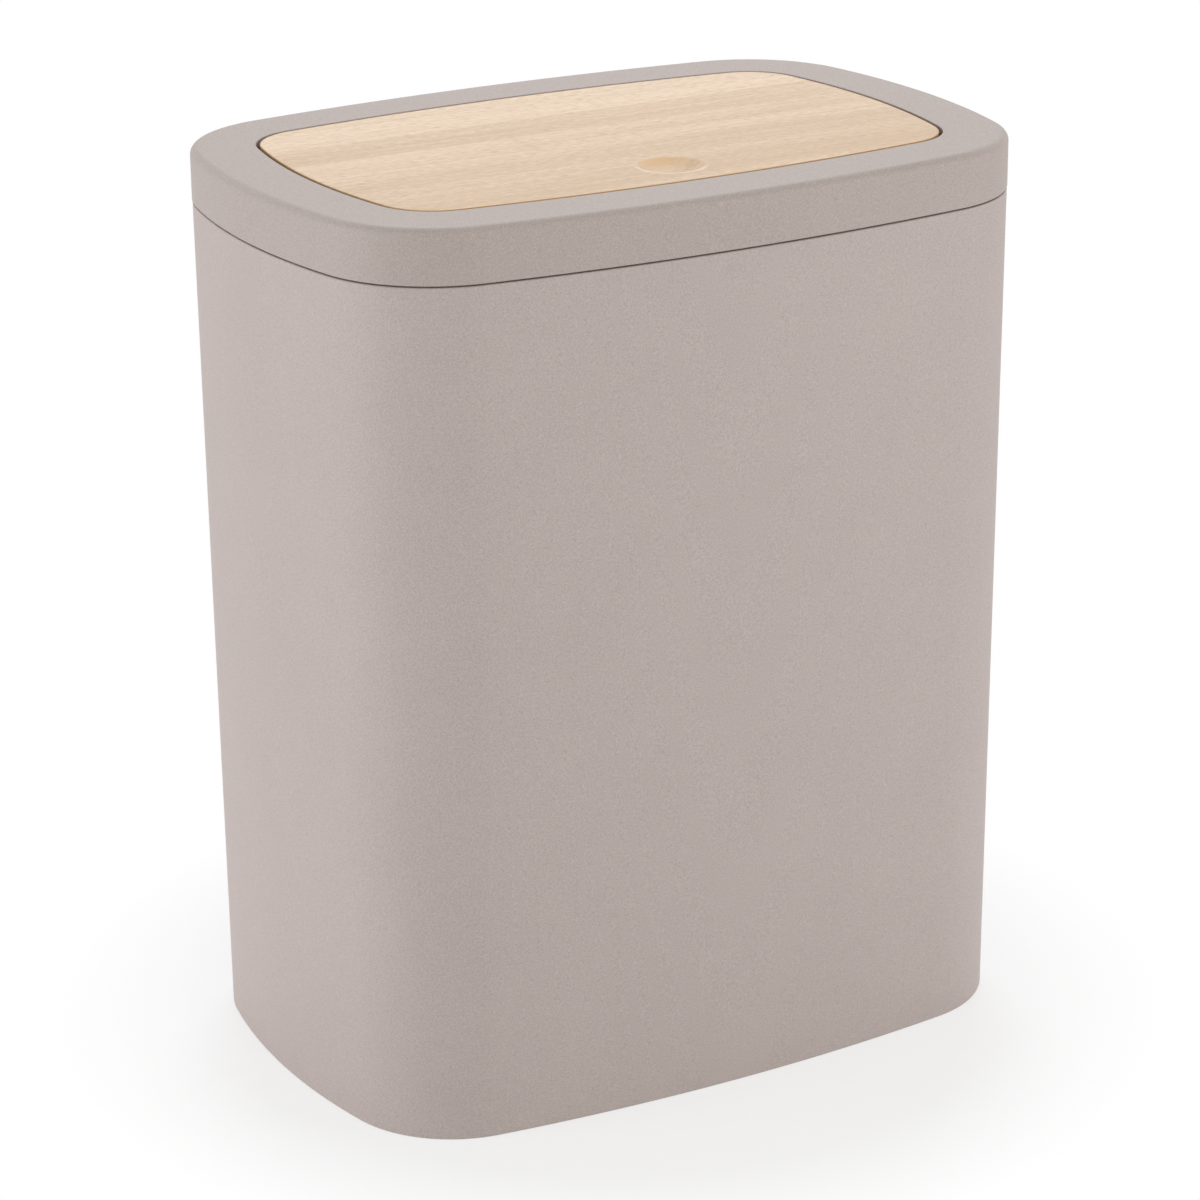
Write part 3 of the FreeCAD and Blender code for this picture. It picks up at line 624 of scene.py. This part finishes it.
def wire_tree():
    """Round wire along a path."""
    tree, given = new_tree("wire", {"Wire Radius": "Float", "Sides": "Int", "Material": "Material"})
    ring = add_node(tree, "GeometryNodeCurvePrimitiveCircle", {"mode": "RADIUS"},
                    {"Resolution": given["Sides"], "Radius": given["Wire Radius"]})
    wire = add_node(tree, "GeometryNodeCurveToMesh", None,
                    {"Curve": given["Geometry"], "Profile Curve": ring.outputs[0], "Fill Caps": True})
    close_tree(tree, wire.outputs[0], given["Material"])
    return tree


def hinge_spring_path(side):
    """Leg, coil and hook of the torsion spring on one side (+1 right, -1 left)."""
    start_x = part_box("hinge_pin_right")[0].x + EAR_LENGTH + SPRING_FROM_EAR
    slope = HINGE_PITCH / (2 * math.pi * HINGE_COIL)
    points = [Vector((-slope * HINGE_LEG, -HINGE_LEG, -HINGE_COIL))]
    for k in range(HINGE_TURNS * TURN_STEPS + 1):
        turn = 2 * math.pi * k / TURN_STEPS
        rise = HINGE_PITCH * k / TURN_STEPS
        points.append(Vector((rise, HINGE_COIL * math.sin(turn), -HINGE_COIL * math.cos(turn))))
    bend_start = points[-1]
    for k in range(1, HOOK_STEPS + 1):
        swing = math.pi / 2 * k / HOOK_STEPS
        points.append(bend_start + Vector((1 - math.cos(swing), math.sin(swing), 0)) * HOOK_ROUND)
    points.append(points[-1] + Vector((HOOK_LENGTH, 0, 0)))
    return [Vector((side * (start_x + p.x), hinge.y + p.y, hinge.z + p.z)) for p in points], start_x


def latch_spring_path():
    """Helix of the compression spring under the plunger."""
    low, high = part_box("latch_spring")
    middle = (low + high) / 2
    radius = (high.x - low.x - LATCH_WIRE) / 2
    rise = high.z - low.z - LATCH_WIRE
    count = LATCH_TURNS * TURN_STEPS
    turns = [2 * math.pi * k / TURN_STEPS for k in range(count + 1)]
    start = Vector((middle.x, middle.y, low.z + LATCH_WIRE / 2))
    return [start + Vector((radius * math.cos(a), radius * math.sin(a), rise * k / count))
            for k, a in enumerate(turns)]


def wire_piece(name, path, wire, tree):
    """One spring as a plain mesh."""
    values = {"Wire Radius": wire / 2, "Sides": WIRE_SIDES, "Material": FINISHES["spring_steel"]}
    return grown(poly_curve(name + "_path", path, False), tree, name, values)


round_wire = wire_tree()
for side_name, side in (("right", 1), ("left", -1)):
    path, start_x = hinge_spring_path(side)
    spring = wire_piece("hinge_coil_" + side_name, path, HINGE_WIRE, round_wire)
    coil_end = start_x + HINGE_PITCH * HINGE_TURNS
    hook_end = (side * coil_end, hinge.y, hinge.z)
    leg_end = (side * start_x, hinge.y, hinge.z)
    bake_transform(spring)
    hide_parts("hinge_spring_" + side_name)
    report(spring)

latch_low, latch_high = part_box("latch_spring")
latch_joint = next(j for j in frame["joints"] if j["name"] == "latch_plunge")
latch_coil = wire_piece("latch_coil", latch_spring_path(), LATCH_WIRE, round_wire)
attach(latch_coil, "lid")
squeezed = 1 + latch_joint["range_m"][0] / (latch_high.z - latch_low.z)
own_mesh(latch_coil)
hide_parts("latch_spring")
report(latch_coil)

# %% [markdown]
# Screws repeat, so one tree makes a pan head with a cross recess and sets a copy at each point. Where
# the points are is read from the measured model: the vertices of a screw group fall into clusters, one
# for each screw. Some screws are driven from above, and for those the tree turns the copies over.

# %% Screws
SCREW_SIDES = 40
HEAD_CHAMFER = 0.45 * MM
RECESS_WIDTH = 0.7 * MM
RECESS_DEPTH = 0.8 * MM
RECESS_SHARE = 1.5
PAN_LARGE = (2.6 * MM, 1.8 * MM, 1.3 * MM)
PAN_SMALL = (2.2 * MM, 1.4 * MM, 1.1 * MM)


def screw_tree():
    """Pan-head screws, heads down, at the points of the base mesh."""
    tree, given = new_tree("pan_screws", {
        "Head Radius": "Float", "Head Height": "Float", "Shank Radius": "Float", "Shank Length": "Float",
        "Turn Over": "Float", "Material": "Material"})

    def amount(name):
        return Amount(tree, given[name])

    def lifted(shape, height):
        """A shape moved along Z."""
        lift = add_node(tree, "ShaderNodeCombineXYZ", None, {"Z": height}).outputs[0]
        inputs = {"Geometry": shape.outputs[0], "Translation": lift}
        return add_node(tree, "GeometryNodeTransform", None, inputs).outputs[0]

    def drum(radius, low, high, top_radius=None):
        """A closed drum or cone frustum between two heights."""
        shape = add_node(tree, "GeometryNodeMeshCone", None, {
            "Vertices": SCREW_SIDES, "Radius Bottom": radius, "Radius Top": top_radius or radius,
            "Depth": high - low})
        return lifted(shape, low)

    height = amount("Head Height")
    radius = amount("Head Radius")
    inner = radius - HEAD_CHAMFER
    lip = -1 * height + HEAD_CHAMFER
    rim = drum(inner, -1 * height, lip, radius)
    seat = height * 0
    barrel = drum(radius, lip, seat)
    bars = []
    for turned in (False, True):
        long_side = inner * RECESS_SHARE
        spans = (RECESS_WIDTH, long_side) if turned else (long_side, RECESS_WIDTH)
        size = add_node(tree, "ShaderNodeCombineXYZ", None, {0: spans[0], 1: spans[1], 2: 2 * RECESS_DEPTH})
        bar = add_node(tree, "GeometryNodeMeshCube", None, {"Size": size.outputs[0]})
        bars.append(lifted(bar, -1 * height))
    head = add_node(tree, "GeometryNodeMeshBoolean", {"operation": "UNION", "solver": "EXACT"})
    for part in (rim, barrel, drum(amount("Shank Radius"), seat, amount("Shank Length"))):
        tree.links.new(part, head.inputs["Mesh 2"])
    cut = add_node(tree, "GeometryNodeMeshBoolean", {"operation": "DIFFERENCE", "solver": "EXACT"},
                   {"Mesh 1": head.outputs[0]})
    for bar in bars:
        tree.links.new(bar, cut.inputs["Mesh 2"])
    turn = add_node(tree, "ShaderNodeCombineXYZ", None, {"X": given["Turn Over"]}).outputs[0]
    copies = add_node(tree, "GeometryNodeInstanceOnPoints", None,
                      {"Points": given["Geometry"], "Instance": cut.outputs[0], "Rotation": turn})
    close_tree(tree, copies.outputs[0], given["Material"])
    return tree


def clusters(node, reach):
    """The vertices of each separate screw of a node, told apart by their distance across."""
    groups = []
    for vertex in frame["nodes"][node].data.vertices:
        home = next((g for g in groups if (g[0].xy - vertex.co.xy).length < reach), None)
        if home:
            home.append(vertex.co)
        else:
            groups.append([vertex.co])
    return groups


def screws(node, name, body, screw, heads_up, tree):
    """Replaces one group of screws, each with its head radius, head height and shank radius."""
    head_radius, head_height, shank_radius = screw
    low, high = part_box(node)
    groups = clusters(node, 3 * head_radius)
    seat = high.z - head_height if heads_up else low.z + head_height
    places = []
    for group in groups:
        xs = [p.x for p in group]
        ys = [p.y for p in group]
        places.append(((min(xs) + max(xs)) / 2, (min(ys) + max(ys)) / 2, seat))
    mesh = bpy.data.meshes.new(name + "_places")
    mesh.from_pydata(places, [], [])
    base = bpy.data.objects.new(name + "_places", mesh)
    bpy.context.scene.collection.objects.link(base)
    piece = grown(base, tree, name, {
        "Head Radius": head_radius, "Head Height": head_height, "Shank Radius": shank_radius,
        "Shank Length": high.z - low.z - head_height, "Turn Over": math.pi if heads_up else 0.0,
        "Material": FINISHES["steel"]})
    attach(piece, body)
    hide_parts(node)
    print(name, "screws", len(places))
    report(piece)


pan_screws = screw_tree()
screws("frame_screws", "lid_frame_screws", "lid", PAN_LARGE, False, pan_screws)
screws("carrier_screws", "flap_carrier_screws", "flap", PAN_SMALL, False, pan_screws)
screws("strike_screws", "strike_plate_screws", "flap", PAN_SMALL, False, pan_screws)
screws("latch_screws", "latch_flange_screws", "lid", PAN_SMALL, True, pan_screws)

# %% [markdown]
# The photograph is a studio cut-out on white. The world shows white to the camera and to reflections,
# and lights the bin at a lower, even level. Low soft lights from the left and from the right front give
# the two sides their tones, and the rounded corner between them stays darkest. Two high lights, one in
# front and one behind, light the lid and fade over its rounded edge.

# %% Floor, world and lights
WORLD_LIGHT = 0.55
FLOOR_HALF = 4.0
FLOOR_WHITE = 0.65
FLOOR_FADE = (0.115, 0.16)
PAPER_SHADE = (0.93, 0.93, 0.93)
PAPER_TINT = (0.96, 0.96, 0.96)
COOL_WHITE = (0.955, 0.960, 1.0)
PLAIN_WHITE = (1.0, 1.0, 1.0)
WARM_WHITE = (1.0, 0.96, 0.84)


def seen_or_mirrored(tree):
    """One for rays from the camera and for its reflections and refractions, nought for all others."""
    rays = add_node(tree, "ShaderNodeLightPath")
    camera_ray = Amount(tree, rays.outputs["Is Camera Ray"])
    glossy_ray = Amount(tree, rays.outputs["Is Glossy Ray"])
    transmission_ray = Amount(tree, rays.outputs["Is Transmission Ray"])
    seen = camera_ray + glossy_ray + transmission_ray
    return seen.math("MINIMUM", seen, 1.0)


def pale_floor():
    """A wide white floor that keeps the bin's shadow near it and fades to plain white for the camera."""
    mesh = bpy.data.meshes.new("floor")
    form = bmesh.new()
    bmesh.ops.create_grid(form, x_segments=4, y_segments=4, size=FLOOR_HALF)
    form.to_mesh(mesh)
    form.free()
    floor = bpy.data.objects.new("floor", mesh)
    bpy.context.scene.collection.objects.link(floor)
    finish = Finish("white_floor", Roughness=0.9)
    cloud = finish.noise(3.0, 2.0)
    finish.feed(Base_Color=finish.mix(cloud, PAPER_SHADE, PAPER_TINT))
    away = finish.amount("ShaderNodeVectorMath", "Value", {"operation": "LENGTH"}, {0: finish.place})
    seen = seen_or_mirrored(finish.tree)
    white = finish.node("ShaderNodeEmission", None, {"Color": (1, 1, 1, 1), "Strength": 1.0})
    fade = FLOOR_WHITE + (1 - FLOOR_WHITE) * finish.spread(away, *FLOOR_FADE)
    faded = finish.node("ShaderNodeMixShader", None, {
        0: seen * fade, 1: finish.shader.outputs[0], 2: white.outputs[0]})
    finish.finish_with(faded.outputs[0])
    mesh.materials.append(finish.material)


def white_world():
    """White to the camera and to reflections, a lower even light on everything else."""
    world = bpy.data.worlds.new("studio")
    bpy.context.scene.world = world
    world.use_nodes = True
    tree = world.node_tree
    tree.nodes.clear()
    strength = WORLD_LIGHT + (1 - WORLD_LIGHT) * seen_or_mirrored(tree)
    sky = add_node(tree, "ShaderNodeBackground", None, {"Color": (1, 1, 1, 1), "Strength": strength})
    add_node(tree, "ShaderNodeOutputWorld", None, {"Surface": sky.outputs[0]})


def soft_light(name, place, aim, size, watts, colour):
    """A square area light aimed at a point."""
    data = bpy.data.lights.new(name, "AREA")
    data.size = size
    data.energy = watts
    data.color = colour
    lamp = bpy.data.objects.new(name, data)
    lamp.location = place
    lamp.rotation_euler = (Vector(aim) - Vector(place)).to_track_quat("-Z", "Y").to_euler()
    bpy.context.scene.collection.objects.link(lamp)


bin_middle = Vector((0, 0, ring_high.z / 2))
pale_floor()
white_world()
soft_light("left_light", (-1.6, 0.4, 0.3), bin_middle, 0.55, 8.3, COOL_WHITE)
soft_light("right_front_light", (1.3, -1.3, 0.28), bin_middle, 0.5, 6.8, PLAIN_WHITE)
soft_light("high_back_light", (0.62, 1.1, 1.5), bin_middle, 0.9, 11.4, COOL_WHITE)
soft_light("high_front_light", (-0.2, -1.2, 1.2), bin_middle, 0.8, 2.7, WARM_WHITE)

# %% [markdown]
# The camera stands where the photograph was taken from. Its place and turn were found by matching the
# lid's edges, the flap's edges and the shell's outline, so the render lines up with the photograph.

# %% Camera
CAMERA_PLACE = Vector((-510.9, -902.5, 495.2)) * MM
CAMERA_YAW = math.radians(60.557)
CAMERA_PITCH = math.radians(-19.979)
CAMERA_ROLL = math.radians(-0.52)
CAMERA_LENS = 118.85
CAMERA_SENSOR = 36.0


def camera():
    """A long lens at the photograph's viewing angle."""
    ahead = Vector((math.cos(CAMERA_YAW), math.sin(CAMERA_YAW), 0)) * math.cos(CAMERA_PITCH)
    ahead.z = math.sin(CAMERA_PITCH)
    level = Vector((math.sin(CAMERA_YAW), -math.cos(CAMERA_YAW), 0))
    above = level.cross(ahead)
    right = level * math.cos(CAMERA_ROLL) + above * math.sin(CAMERA_ROLL)
    up = above * math.cos(CAMERA_ROLL) - level * math.sin(CAMERA_ROLL)
    data = bpy.data.cameras.new("camera")
    data.lens = CAMERA_LENS
    data.sensor_width = CAMERA_SENSOR
    view = bpy.data.objects.new("camera", data)
    view.matrix_world = Matrix.Translation(CAMERA_PLACE) @ Matrix((right, up, -ahead)).transposed().to_4x4()
    bpy.context.scene.collection.objects.link(view)
    bpy.context.scene.camera = view
    return view


print("camera at", [round(v, 4) for v in camera().location])

# %% [markdown]
# Colours should come out as they are written, so the plain Standard view is used.

# %% Finish
bpy.context.scene.view_settings.view_transform = "Standard"
